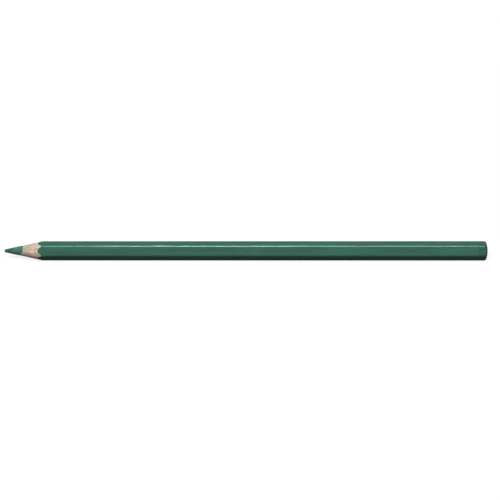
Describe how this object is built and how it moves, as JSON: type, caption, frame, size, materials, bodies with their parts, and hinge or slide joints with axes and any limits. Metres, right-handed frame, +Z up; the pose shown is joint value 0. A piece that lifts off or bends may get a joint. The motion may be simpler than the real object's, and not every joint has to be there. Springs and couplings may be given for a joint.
{
  "type": "colouring pencil",
  "caption": "Hexagonal wood-cased colouring pencil, sharpened to a blunt green core point, lacquered green, with a dipped rounded end.",
  "frame": {"origin": "on the surface the pencil lies on, under the middle of its length and width", "axes": "+X along the barrel from the point to the dipped end, +Z up, square to the flat it lies on, +Y across the barrel"},
  "size_m": [0.175, 0.007, 0.0063],
  "materials": {
    "pigment_core": "waxy matte pigment, faintly scored by the sharpener",
    "casing_wood": "bare fine-grained pinkish wood, freshly cut",
    "wood_glue": "dried wood adhesive",
    "filler_coat": "matt pale filler",
    "green_lacquer": "satin-gloss lacquer",
    "dip_lacquer": "gloss dipped lacquer"
  },
  "bodies": {
    "root": {"colour_core": "pigment_core", "front_slat": "casing_wood", "rear_slat": "casing_wood", "glue_film": "wood_glue", "undercoat": "filler_coat", "colour_lacquer": "green_lacquer", "end_dip": "dip_lacquer"}
  },
  "joints": []
}
